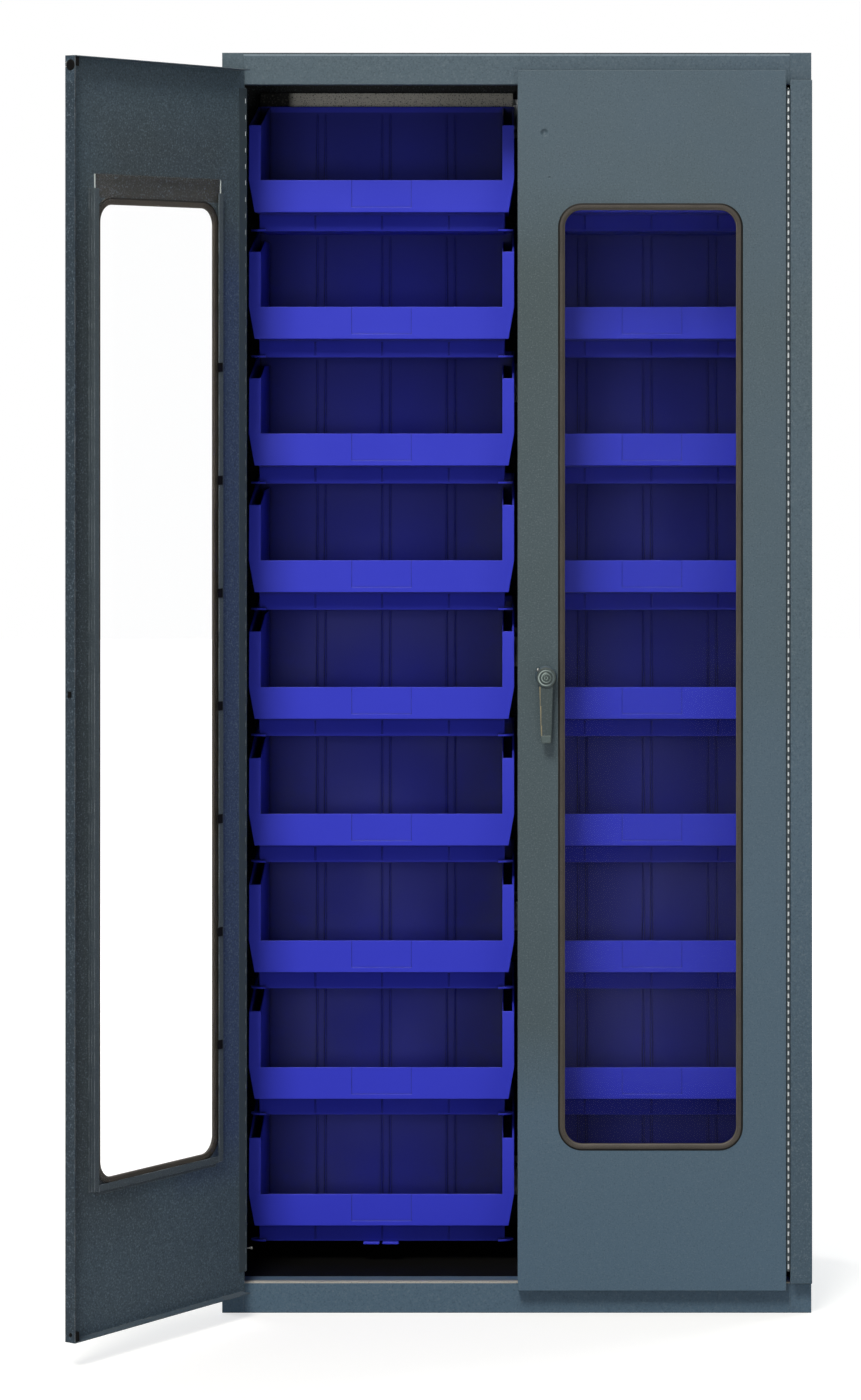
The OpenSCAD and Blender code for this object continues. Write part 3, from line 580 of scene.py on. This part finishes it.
def rubberFinish(name, look, window=None):
    material, tree, place, shader = startMaterial(name)
    tone = toneOf(tree, place, look)
    edge = edgeOf(tree, place, look)
    speck = fleckOf(tree, place, look, look["flecks"])
    colour = layered(tree, tone["Colour"], (speck["Light"], look["fleckTone"]), (edge["Mask"], look["edgeWearHighlightTone"]))
    normal = rippled(tree, place, look, edge["Normal"])
    if window:
        # the trim's outer rim is a groove painted black as its shade, and a paler band lies near its inner rim
        shut = shutPlace(tree, place) if window["turned"] else place
        away = useGroup(tree, outsideWindow, vector=shut, middle=window["middle"], half=window["half"],
                        corner=window["corner"], wander=window["wander"])["Distance"]
        groove, rim = [product(tree, ramp(tree, away, *one), ramp(tree, away, *two))
                       for one, two in (window["groove"], window["rim"])]
        colour = layered(tree, colour, (groove, window["grooveShadeTone"]),
                         (product(tree, rim, window["rimAmount"]), window["rimTone"]))
        normal = bumped(tree, sums(tree, "SUBTRACT", 1.0, groove), window["grooveBump"], window["grooveDepth"], normal)
    plug(tree, shader, colour=colour, roughness=ramp(tree, tone["Cloud"], 0.0, 1.0, *look["roughness"]),
         normal=normal, specular=look["specular"])
    return material


# groove and rim lie between two pairs of distances from the trim's outer edge
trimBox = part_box("right_window_trim")
trimMiddle = [(a + b) / 2 for a, b in zip(*trimBox)]
trimHalf = [(b - a) / 2 for a, b in zip(*trimBox)]
rightWindow = {"middle": trimMiddle, "half": trimHalf, "corner": 0.037, "wander": 0.0012, "turned": False,
               "groove": ((-0.0030, -0.0024), (0.0, -0.0003)), "grooveShadeTone": "#171512", "grooveBump": 0.8,
               "grooveDepth": 0.0012, "rim": ((-0.0090, -0.0098), (-0.0106, -0.0100)), "rimTone": "#7d7870",
               "rimAmount": 0.5}
leftWindow = dict(rightWindow, middle=(-trimMiddle[0], trimMiddle[1], trimMiddle[2]), turned=True)
rightTrimRubber = rubberFinish("rightTrimRubber", rubberLook, rightWindow)
leftTrimRubber = rubberFinish("leftTrimRubber", rubberLook, leftWindow)
padLook = dict(rubberLook, base="#0d0d0e", other="#0a0a0a", low="#0d0d0e", specular=0.15, fleckTone="#232323",
               edgeWearHighlightTone="#2c2c2c")
padRubber = rubberFinish("padRubber", padLook)


hingeLook = {"pitch": 0.0127, "from": 0.070, "knuckleHighlightTone": "#d9dee0", "shade": "#39444a", "worn": (0.30, 0.22),
             "patchScale": 120.0, "patchDetail": 3.0, "wander": 0.35, "facing": (0.87, 0.94),
             "barrel": (0.0030, 0.0029), "right": (-0.1, 0.1, 0.0, 0.8), "left": (1.60, 1.82, 0.08, 1.0),
             "roughness": (0.5, 0.4), "specular": 0.5,
             "scratch": 0.6, "scratchStretch": (60.0, 60.0, 8.0), "scratchTone": "#8b9295",
             "waveScale": 400.0, "grainScale": 1800.0, "grain": 0.5, "skin": 0.15, "skinDepth": 0.0004}


def hingeFinish(name, look):
    # painted highlights: each knuckle's middle is painted near white where the barrel faces front, on the right and
    # high up on the left
    material, tree, place, shader = startMaterial(name)
    axes = axesOf(tree, place)
    turns = sums(tree, "DIVIDE", sums(tree, "SUBTRACT", axes[2], look["from"]), look["pitch"])
    off = sums(tree, "ABSOLUTE", sums(tree, "SUBTRACT", sums(tree, "FRACT", turns), 0.5))
    patch = sums(tree, "SUBTRACT", cloudOf(tree, place, look["patchScale"], look["patchDetail"]), 0.5)
    off = sums(tree, "ADD", off, product(tree, patch, look["wander"]))
    facing = vectors(tree, "DOT_PRODUCT", addNode(tree, "ShaderNodeNewGeometry").outputs["Normal"], (0.0, -1.0, 0.0))
    across = sums(tree, "SUBTRACT", sums(tree, "ABSOLUTE", axes[0]), hingeAxis)
    barrel = sums(tree, "ADD", sums(tree, "POWER", across, 2.0),
                  sums(tree, "POWER", sums(tree, "SUBTRACT", axes[1], jambFace), 2.0))
    onBarrel = product(tree, ramp(tree, barrel, *[r ** 2 for r in look["barrel"]]), ramp(tree, facing, *look["facing"]))
    side = sums(tree, "MAXIMUM", ramp(tree, axes[0], *look["right"]), ramp(tree, axes[2], *look["left"]))
    worn = product(tree, ramp(tree, off, *look["worn"]), product(tree, onBarrel, side))
    colour = blendColours(tree, worn, colourOf(look["shade"]), colourOf(look["knuckleHighlightTone"]))
    colour = layered(tree, colour, (scratchOf(tree, place, look), look["scratchTone"]))
    plug(tree, shader, colour=colour, roughness=ramp(tree, worn, 0.0, 1.0, *look["roughness"]),
         normal=rippled(tree, place, look), specular=look["specular"])
    return material


hingeEnamel = hingeFinish("hingeEnamel", hingeLook)


# the right sheet's grey tint is painted shade that dims what stands behind it; the left sheet is nearly clear
sheetLook = {"left": (0.996, 0.998, 1.0, 1), "right": (0.90, 0.915, 0.92, 1), "ior": 1.1,
             "haze": (5.0, 4.0), "roughness": (0.3, 0.7, 0.0, 0.008), "edge": "#b9c2c0", "edgeFrom": (0.5, 0.4),
             "edgeGrain": (400.0, 2.0), "edgeRoughness": (0.3, 0.7, 0.35, 0.6)}


def clearFinish(name, tint, facing):
    # lamps shine through it, so that what stands behind it is lit; its sawn edges are pale
    material, tree, place, shader = startMaterial(name)
    rough = ramp(tree, cloudOf(tree, place, *sheetLook["haze"]), *sheetLook["roughness"])
    plug(tree, shader, colour=tint, roughness=rough, clearness=1.0, ior=sheetLook["ior"])
    path = addNode(tree, "ShaderNodeLightPath").outputs
    through = sums(tree, "MAXIMUM", path["Is Shadow Ray"], path["Is Diffuse Ray"])
    air = addNode(tree, "ShaderNodeBsdfTransparent", {"Color": tint})
    mixed = addNode(tree, "ShaderNodeMixShader", {0: through, 1: shader.outputs[0], 2: air.outputs[0]})
    flat = vectors(tree, "DOT_PRODUCT", addNode(tree, "ShaderNodeTexCoord").outputs["Normal"], facing)
    sawn = ramp(tree, sums(tree, "ABSOLUTE", flat), *sheetLook["edgeFrom"])
    grain = cloudOf(tree, place, *sheetLook["edgeGrain"])
    edge = addNode(tree, "ShaderNodeBsdfPrincipled", {
        "Base Color": colourOf(sheetLook["edge"]), "Roughness": ramp(tree, grain, *sheetLook["edgeRoughness"])})
    whole = addNode(tree, "ShaderNodeMixShader", {0: sawn, 1: mixed.outputs[0], 2: edge.outputs[0]})
    out = next(n for n in tree.nodes if n.type == "OUTPUT_MATERIAL")
    tree.links.new(whole.outputs[0], out.inputs["Surface"])
    return material


rightSheet = clearFinish("rightClearSheet", sheetLook["right"], (0.0, 1.0, 0.0))
leftSheet = clearFinish("leftClearSheet", sheetLook["left"], (math.sin(leftOpen), math.cos(leftOpen), 0.0))
print("finishes made")


# every other CAD node is a bin in blue plastic or a zinc fitting
finishOf = {
    "left_side_panel": slateEnamel, "right_side_panel": slateEnamel, "top_panel": slateEnamel,
    "front_header": headerEnamel, "front_sill": sillEnamel, "left_jamb": slateEnamel, "right_jamb": jambEnamel,
    "back_panel": backEnamel, "floor_panel": floorShadeBlack, "floor_channel": floorShadeBlack,
    "left_louvred_panel": panelPrimer, "right_louvred_panel": panelPrimer,
    "left_door_pan": leftDoorEnamel, "right_door_pan": rightDoorEnamel,
    "left_glazing_channels": leftChannelEnamel, "right_glazing_channels": slateEnamel,
    "handle_housing": slateEnamel, "handle_lever": leverEnamel,
    "left_clear_sheet": leftSheet, "right_clear_sheet": rightSheet,
    "left_window_trim": leftTrimRubber, "right_window_trim": rightTrimRubber,
    "left_frame_leaf": hingeEnamel, "right_frame_leaf": hingeEnamel,
    "left_door_leaf": hingeEnamel, "right_door_leaf": hingeEnamel,
    "left_door_bumpers": padRubber, "right_door_bumpers": padRubber,
    "lock_plug": lockNickel,
}
for name in cadNodes:
    mesh = cadNodes[name].data
    mesh.materials.clear()
    mesh.materials.append(finishOf.get(name, bluePlastic if name.startswith("bin_") else zincSteel))
print("CAD nodes dressed")


def roundEdges(form, edges, radius, steps):
    bmesh.ops.bevel(form, geom=edges, offset=radius, offset_type="OFFSET", segments=steps, profile=0.5,
                    affect="EDGES", clamp_overlap=True)


def closeBetween(form, one, two):
    # the faces of a solid between two outlines
    faces = [form.faces.new(one), form.faces.new(two[::-1])]
    for k in range(len(one)):
        n = (k + 1) % len(one)
        faces.append(form.faces.new((one[k], two[k], two[n], one[n])))
    bmesh.ops.recalc_face_normals(form, faces=faces)
    return list(dict.fromkeys(e for face in faces for e in face.edges))


def pieceFrom(form, name, material, body):
    bmesh.ops.recalc_face_normals(form, faces=form.faces)
    mesh = bpy.data.meshes.new(name)
    form.to_mesh(mesh)
    form.free()
    for face in mesh.polygons:
        face.use_smooth = True
    mesh.materials.append(material)
    piece = bpy.data.objects.new(name, mesh)
    bpy.context.scene.collection.objects.link(piece)
    even = piece.modifiers.new("evenNormals", "WEIGHTED_NORMAL")
    even.keep_sharp = True
    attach(piece, body)
    return piece


# each post is a hollow, open at its top: its inner wall runs back beside the bin's side, (y, z) from the bin's
# front low corner, low enough for the bin to lift under the one above it
innerWalls = {"inset": 0.0186, "thick": 0.0014, "edge": 0.0004, "halfWidth": 0.20955,
              "front": [(0.0055, 0.0315), (0.0015, 0.0820), (0.0095, 0.1660)],
              "topRow": [(0.2580, 0.2088), (0.2376, 0.0315)],
              "otherRows": [(0.1276, 0.1864), (0.2552, 0.1864), (0.2376, 0.0315)]}


def addInnerWalls(form, corner, outline):
    for side in (-1, 1):
        near = corner[0] + innerWalls["halfWidth"] + side * (innerWalls["halfWidth"] - innerWalls["inset"])
        one, two = [[form.verts.new((x, corner[1] + y, corner[2] + z)) for y, z in outline]
                    for x in (near, near + side * innerWalls["thick"])]
        roundEdges(form, closeBetween(form, one, two), innerWalls["edge"], 1)


# sharp and flat are angles in degrees; bin, lever and lock are the radii of their edges
softLook = {"steps": 2, "sharp": 25.0, "flat": 1.0, "merge": 1e-5, "bin": 0.0009, "lever": 0.0011, "lock": 0.0004}


def softened(name, source, radius, material, body, shift=(0, 0, 0), walls=None):
    # a copy of a CAD piece whose hard edges are rounded, as moulding leaves them
    form = bmesh.new()
    form.from_mesh(cadNodes[source].data)
    bmesh.ops.remove_doubles(form, verts=form.verts, dist=softLook["merge"])
    bmesh.ops.dissolve_limit(form, angle_limit=math.radians(softLook["flat"]), verts=form.verts, edges=form.edges)
    sharp = math.radians(softLook["sharp"])
    roundEdges(form, [e for e in form.edges if e.is_manifold and e.calc_face_angle(0.0) > sharp], radius,
               softLook["steps"])
    if walls:
        addInnerWalls(form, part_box(source)[0], walls)
    bmesh.ops.translate(form, verts=form.verts, vec=shift)
    return pieceFrom(form, name, material, body)


firstBin = Vector(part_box("bin_l1")[0])
for side in "lr":
    for row in range(1, binRows + 1):
        node = f"bin_{side}{row}"
        walls = innerWalls["front"] + innerWalls["topRow" if row == 1 else "otherRows"]
        made = softened(f"moulded_bin_{side}{row}", "bin_l1", softLook["bin"], bluePlastic, node,
                        Vector(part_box(node)[0]) - firstBin, walls)
        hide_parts(node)
lever = softened("painted_lever", "handle_lever", softLook["lever"], leverEnamel, "handle")
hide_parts("handle_lever")
plugFace = softened("lock_face", "lock_plug", softLook["lock"], lockNickel, "lock")
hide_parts("lock_plug")
print("bins, lever and lock softened")

# both doors' small pieces are drawn from the hinge axis, on a shut door
rightHinge = Matrix.Translation((hingeAxis, jambFace, 0.0)) @ Matrix.Diagonal((-1.0, 1.0, 1.0, 1.0))
leftHinge = Matrix.Translation((-hingeAxis, jambFace, 0.0)) @ Matrix.Rotation(-leftOpen, 4, "Z")
still = Matrix.Identity(4)


def lathed(name, profile, at, along, where, material, body, steps=40):
    # (radius, height) points spun round an axis
    form = bmesh.new()
    turn = Vector((0, 0, 1)).rotation_difference(Vector(along)).to_matrix().to_4x4()
    rings = []
    for radius, height in profile:
        rings.append([form.verts.new((radius * math.cos(a), radius * math.sin(a), height))
                      for a in (2 * math.pi * k / steps for k in range(steps))])
    for one, two in zip(rings, rings[1:]):
        for k in range(steps):
            form.faces.new((one[k], one[(k + 1) % steps], two[(k + 1) % steps], two[k]))
    form.faces.new(rings[0][::-1])
    form.faces.new(rings[-1])
    bmesh.ops.transform(form, matrix=where @ Matrix.Translation(at) @ turn, verts=form.verts)
    return pieceFrom(form, name, material, body)


def slab(name, outline, low, high, radius, where, material, body):
    # an outline of (x, z) points drawn out from low to high along y, its edges rounded
    form = bmesh.new()
    front, back = [[form.verts.new((x, y, z)) for x, z in outline] for y in (low, high)]
    closeBetween(form, front, back)
    roundEdges(form, form.edges[:], radius, 2)
    bmesh.ops.transform(form, matrix=where, verts=form.verts)
    return pieceFrom(form, name, material, body)


# black buttons and small studs at the open door's free corners; profiles are (radius, height)
cornerButtons = {"inFrom": 0.0104, "corners": {"top": (1.9134, 0.0082), "bottom": (0.0500, 0.0030)},
                 "profile": [(1.0, -0.001), (1.0, 0.0004), (0.8, 0.0009), (0.3, 0.0011)]}
buttonStuds = {"inFrom": 0.0018, "heights": (1.9171, 1.9112), "steps": 20,
               "profile": [(0.0012, -0.0006), (0.0012, 0.0004), (0.0008, 0.0010), (0.0003, 0.0012)]}
for end, (height, radius) in cornerButtons["corners"].items():
    lathed(f"corner_button_{end}", [(radius * share, rise) for share, rise in cornerButtons["profile"]],
           (doorWidth, cornerButtons["inFrom"], height), (1, 0, 0), leftHinge, padRubber, "left_door")
for k, height in enumerate(buttonStuds["heights"]):
    lathed(f"button_stud_{k + 1}", buttonStuds["profile"], (doorWidth, buttonStuds["inFrom"], height), (1, 0, 0),
           leftHinge, zincSteel, "left_door", buttonStuds["steps"])

# clips that hold each sheet in the channel beside the hinge
sheetClips = {"from": 0.423, "pitch": 0.173, "count": 7, "across": (0.0660, 0.0780), "tall": 0.014, "cut": 0.002,
              "low": 0.0084, "high": 0.0096, "edge": 0.0003}
for side, where, body in (("left", leftHinge, "left_door"), ("right", rightHinge, "right_door")):
    for k in range(sheetClips["count"]):
        z0, (a, b), cut = sheetClips["from"] + k * sheetClips["pitch"], sheetClips["across"], sheetClips["cut"]
        z1 = z0 + sheetClips["tall"]
        slab(f"{side}_sheet_clip_{k + 1}",
             [(a, z0), (b - cut, z0), (b, z0 + cut), (b, z1 - cut), (b - cut, z1), (a, z1)],
             sheetClips["low"], sheetClips["high"], sheetClips["edge"], where, padRubber, body)

# the lowest bins' two middle rests
binRests = {"middle": 0.2152, "apart": 0.0151, "half": 0.0122, "bulge": 0.001, "front": -0.0700, "back": -0.0560,
            "low": 0.0772, "high": 0.0805, "edge": 0.0006}
for column, body in ((-1, "bin_l9"), (1, "bin_r9")):
    for k, hand in ((-1, "left"), (1, "right")):
        x = binRests["middle"] * column + k * binRests["apart"]
        a, b, z0, z1 = x - binRests["half"], x + binRests["half"], binRests["low"], binRests["high"]
        bulge = binRests["bulge"]
        slab(f"{body}_rest_{hand}",
             [(a, z0), (b, z0), (b + bulge, (z0 + z1) / 2), (b, z1), (a, z1), (a - bulge, (z0 + z1) / 2)],
             binRests["front"], binRests["back"], binRests["edge"], still, bluePlastic, body)

# a stud on the left side panel's edge, and the handle's stop pin
sideStud = {"at": (-0.4242, -0.2060, 0.1001), "profile": [
    (0.0026, -0.0012), (0.0026, 0.0004), (0.0012, 0.0006), (0.0012, 0.0108), (0.0020, 0.0112), (0.0020, 0.0136),
    (0.0014, 0.0142)]}
stopPin = {"at": (hingeAxis - 0.0330, 0.0, 0.9999), "profile": [
    (0.0026, 0.0010), (0.0026, -0.0066), (0.0021, -0.0078), (0.0010, -0.0083)]}
lathed("side_panel_stud", sideStud["profile"], sideStud["at"], (1, 0, 0), still, zincSteel, "root")
lathed("handle_rivet", stopPin["profile"], stopPin["at"], (0, 1, 0), rightHinge, zincSteel, "right_door")
print("small pieces made")


# backdrop is read by ramp over the way that a glossy ray goes along y
room = {"floorSize": 30.0, "floorTone": "#b4b4b2", "floorRoughness": 0.9, "floorSpecular": 0.1, "floorGlow": 0.62,
        "glowRange": (1.0, 3.5), "ambient": 0.25, "ambientTone": "#e9f0f8", "backdrop": (-0.2, 0.6, 0.04, 1.0),
        "leastWhite": 0.001}
lamps = {
    "keyLamp": {"at": (-2.1, -6.8, 8.5), "aim": (0.0, 0.0, 1.0), "size": 3.0, "power": 835.0, "tone": "#fffaf2"},
    "fillLamp": {"at": (-1.1, -6.0, 1.35), "aim": (0.0, 0.0, 1.0), "size": 1.2, "power": 34.0, "tone": "#f2f6ff"},
    "rightLamp": {"at": (1.9, -5.7, 1.15), "aim": (0.0, 0.0, 1.0), "size": 1.2, "power": 19.0, "tone": "#f2f6ff"},
    "backLeftLamp": {"at": (-4.2, 3.4, 2.4), "aim": (0.0, 0.0, 1.0), "size": 2.5, "power": 170.0, "tone": "#ffffff"},
    "backRightLamp": {"at": (4.2, 2.6, 1.1), "aim": (0.0, 0.0, 1.0), "size": 1.5, "power": 170.0, "tone": "#ffffff"},
    "topLamp": {"at": (0.4, 0.8, 4.6), "aim": (0.0, 0.0, 1.6), "size": 2.4, "power": 60.0, "tone": "#ffffff"},
}
view = {"at": (0.0011, -6.9043, 1.5057), "lens": 110.93, "sensor": 36.0, "shiftX": -0.0621, "shiftY": -0.2552,
        "farthest": 100.0}


def makeFloor():
    mesh = bpy.data.meshes.new("floor")
    form = bmesh.new()
    bmesh.ops.create_grid(form, x_segments=1, y_segments=1, size=room["floorSize"] / 2)
    form.to_mesh(mesh)
    form.free()
    floor = bpy.data.objects.new("floor", mesh)
    bpy.context.scene.collection.objects.link(floor)
    material, tree, place, shader = startMaterial("paleFloor")
    plug(tree, shader, colour=colourOf(room["floorTone"]), roughness=room["floorRoughness"],
         specular=room["floorSpecular"])
    path = addNode(tree, "ShaderNodeLightPath").outputs
    seen = sums(tree, "MAXIMUM", path["Is Camera Ray"], path["Is Transmission Ray"])
    # white runs out into the white beyond it
    glow = ramp(tree, vectors(tree, "LENGTH", place), *room["glowRange"], room["floorGlow"], 1.0)
    tree.links.new(product(tree, seen, glow), shader.inputs["Emission Strength"])
    shader.inputs["Emission Color"].default_value = (1, 1, 1, 1)
    mesh.materials.append(material)


def makeWorld():
    world = bpy.data.worlds.new("studio")
    bpy.context.scene.world = world
    world.use_nodes = True
    tree = world.node_tree
    tree.nodes.clear()
    path = addNode(tree, "ShaderNodeLightPath").outputs
    seen = sums(tree, "MAXIMUM", path["Is Camera Ray"], path["Is Transmission Ray"])
    # gloss shows the white backdrop behind the object, and a dim room behind the camera
    way = axesOf(tree, addNode(tree, "ShaderNodeTexCoord").outputs["Generated"])
    gloss = product(tree, path["Is Glossy Ray"], ramp(tree, way[1], *room["backdrop"]))
    level = sums(tree, "MAXIMUM", seen, gloss)
    ambient = addNode(tree, "ShaderNodeBackground", {
        "Color": colourOf(room["ambientTone"]), "Strength": room["ambient"]})
    white = addNode(tree, "ShaderNodeBackground", {"Color": (1, 1, 1, 1), "Strength": level})
    which = sums(tree, "GREATER_THAN", level, room["leastWhite"])
    mixed = addNode(tree, "ShaderNodeMixShader", {0: which, 1: ambient.outputs[0], 2: white.outputs[0]})
    addNode(tree, "ShaderNodeOutputWorld", {"Surface": mixed.outputs[0]})


def makeLamps():
    for name, lamp in lamps.items():
        data = bpy.data.lights.new(name, "AREA")
        data.energy, data.size, data.color = lamp["power"], lamp["size"], colourOf(lamp["tone"])[:3]
        made = bpy.data.objects.new(name, data)
        made.location = lamp["at"]
        made.rotation_euler = (Vector(lamp["aim"]) - Vector(lamp["at"])).to_track_quat("-Z", "Y").to_euler()
        made.visible_camera = False
        bpy.context.scene.collection.objects.link(made)


def makeCamera():
    data = bpy.data.cameras.new("camera")
    data.lens, data.sensor_width = view["lens"], view["sensor"]
    data.shift_x, data.shift_y = view["shiftX"], view["shiftY"]
    data.clip_end = view["farthest"]
    made = bpy.data.objects.new("camera", data)
    made.location, made.rotation_euler = view["at"], (math.radians(90), 0.0, 0.0)
    bpy.context.scene.collection.objects.link(made)
    bpy.context.scene.camera = made


makeFloor()
makeWorld()
makeLamps()
makeCamera()
bpy.context.scene.view_settings.view_transform = "Standard"
print("room, lamps and camera made")
